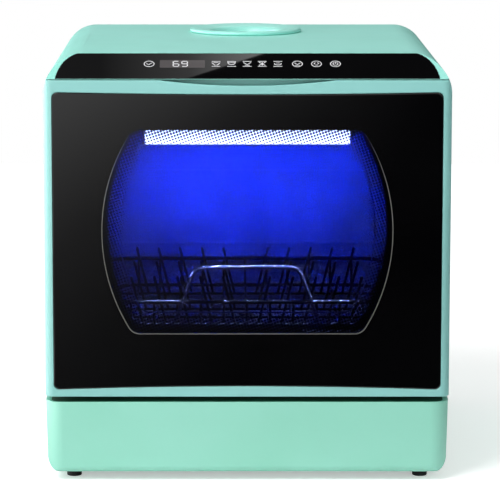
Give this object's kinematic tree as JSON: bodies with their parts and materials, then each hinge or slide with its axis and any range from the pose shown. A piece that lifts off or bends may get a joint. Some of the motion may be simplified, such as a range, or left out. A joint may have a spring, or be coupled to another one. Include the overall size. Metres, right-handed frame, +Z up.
{
  "type": "countertop dishwasher",
  "caption": "Countertop dishwasher with a drop-down glass door, rounded plastic cabinet, sloped touch panel, top water inlet, roll-out wire rack and spray arms.",
  "frame": {"origin": "centre of the footprint, on the surface that the feet stand on", "axes": "+X to the right seen from the door, +Y to the rear, +Z up"},
  "size_m": [0.43, 0.43, 0.46],
  "materials": {
    "mint_plastic": "satin moulded ABS",
    "black_plastic": "fine moulded texture",
    "panel_glass": "polished, printed black behind",
    "door_glass": "polished, printed black border",
    "window_pane": "clear polished",
    "rubber": "matte",
    "seal_rubber": "matte",
    "steel": "brushed",
    "bracket_steel": "black coated",
    "circuit_board": "solder mask",
    "tank_plastic": "translucent natural polypropylene",
    "white_plastic": "moulded polypropylene",
    "grey_plastic": "moulded polypropylene",
    "arm_plastic": "moulded polypropylene",
    "coated_wire": "nylon dip coating",
    "lamp_lens": "diffusing, lit blue",
    "valve_plastic": "moulded nylon",
    "motor_paint": "painted",
    "switch_plastic": "moulded"
  },
  "bodies": {
    "cabinet": {"outer_shell": "mint_plastic", "base_pan": "mint_plastic", "rubber_feet": "rubber", "back_panel": "mint_plastic", "back_screws": "steel", "control_panel": "panel_glass", "control_tray": "black_plastic", "control_board": "circuit_board", "inlet_funnel": "mint_plastic", "fill_duct": "tank_plastic", "water_tank": "tank_plastic", "tank_hose": "grey_plastic", "tub": "white_plastic", "tub_gasket": "seal_rubber", "rack_rails": "white_plastic", "sump": "grey_plastic", "heater_element": "steel", "filter_plate": "steel", "filter_cup": "grey_plastic", "spray_hub": "grey_plastic", "feed_pipe": "grey_plastic", "wash_pump": "black_plastic", "suction_pipe": "grey_plastic", "drain_pump": "motor_paint", "drain_hose": "grey_plastic", "drain_spigot": "black_plastic", "inlet_port": "white_plastic", "inlet_valve": "valve_plastic", "power_board": "circuit_board", "cord_gland": "black_plastic", "lamp_housing": "black_plastic", "lamp_lens": "lamp_lens", "blower_housing": "black_plastic", "air_duct": "grey_plastic", "hinge_brackets": "bracket_steel", "catch_block": "black_plastic", "door_switch": "switch_plastic"},
    "door": {"door_frame": "mint_plastic", "door_glass": "door_glass", "window_bezel": "black_plastic", "light_bar": "white_plastic", "inner_window": "window_pane", "door_liner": "grey_plastic", "detergent_cup": "white_plastic", "latch_striker": "steel", "hinge_pins": "steel"},
    "detergent_flap": {"detergent_cover": "arm_plastic"},
    "rack": {"wire_rack": "coated_wire", "rack_floor": "coated_wire", "rack_tines": "coated_wire"},
    "front_left_wheel": {"wheel_front_left": "grey_plastic"},
    "front_right_wheel": {"wheel_front_right": "grey_plastic"},
    "rear_left_wheel": {"wheel_rear_left": "grey_plastic"},
    "rear_right_wheel": {"wheel_rear_right": "grey_plastic"},
    "lower_arm": {"lower_spray_arm": "arm_plastic"},
    "upper_arm": {"upper_spray_arm": "arm_plastic"},
    "strainer": {"inlet_strainer": "white_plastic"},
    "impeller": {"pump_impeller": "arm_plastic"},
    "blower_rotor": {"blower_wheel": "arm_plastic"},
    "plunger": {"switch_plunger": "white_plastic"}
  },
  "joints": [
    {"name": "door_hinge", "type": "hinge", "parent": "cabinet", "child": "door", "pos_m": [0, -0.205, 0.1], "axis": [1, 0, 0], "range_deg": [0, 90]},
    {"name": "rack_roll", "type": "slide", "parent": "cabinet", "child": "rack", "axis": [0, -1, 0], "range_m": [0, 0.07]},
    {"name": "detergent_cover_slide", "type": "slide", "parent": "door", "child": "detergent_flap", "axis": [-1, 0, 0], "range_m": [0, 0.058]},
    {"name": "lower_arm_spin", "type": "hinge", "parent": "cabinet", "child": "lower_arm", "pos_m": [0, -0.016, 0.138], "axis": [0, 0, 1], "continuous": true},
    {"name": "upper_arm_spin", "type": "hinge", "parent": "cabinet", "child": "upper_arm", "pos_m": [0, -0.016, 0.378], "axis": [0, 0, 1], "continuous": true},
    {"name": "strainer_lift", "type": "slide", "parent": "cabinet", "child": "strainer", "axis": [0, 0, 1], "range_m": [0, 0.03]},
    {"name": "impeller_spin", "type": "hinge", "parent": "cabinet", "child": "impeller", "pos_m": [-0.126, 0.008, 0.055], "axis": [1, 0, 0], "continuous": true},
    {"name": "blower_spin", "type": "hinge", "parent": "cabinet", "child": "blower_rotor", "pos_m": [-0.118, 0.2, 0.054], "axis": [0, 1, 0], "continuous": true},
    {"name": "plunger_travel", "type": "slide", "parent": "cabinet", "child": "plunger", "axis": [0, -1, 0], "range_m": [0, 0.002]},
    {"name": "front_left_wheel_spin", "type": "hinge", "parent": "rack", "child": "front_left_wheel", "pos_m": [-0.164, -0.129, 0.1515], "axis": [1, 0, 0], "continuous": true},
    {"name": "front_right_wheel_spin", "type": "hinge", "parent": "rack", "child": "front_right_wheel", "pos_m": [0.164, -0.129, 0.1515], "axis": [1, 0, 0], "continuous": true},
    {"name": "rear_left_wheel_spin", "type": "hinge", "parent": "rack", "child": "rear_left_wheel", "pos_m": [-0.164, 0.094, 0.1515], "axis": [1, 0, 0], "continuous": true},
    {"name": "rear_right_wheel_spin", "type": "hinge", "parent": "rack", "child": "rear_right_wheel", "pos_m": [0.164, 0.094, 0.1515], "axis": [1, 0, 0], "continuous": true}
  ],
  "couplings": [
    {"joint": "rack_roll", "follows": "door_hinge", "m_per_rad": 0.044562},
    {"joint": "plunger_travel", "follows": "door_hinge", "m_per_rad": 0.001272}
  ]
}
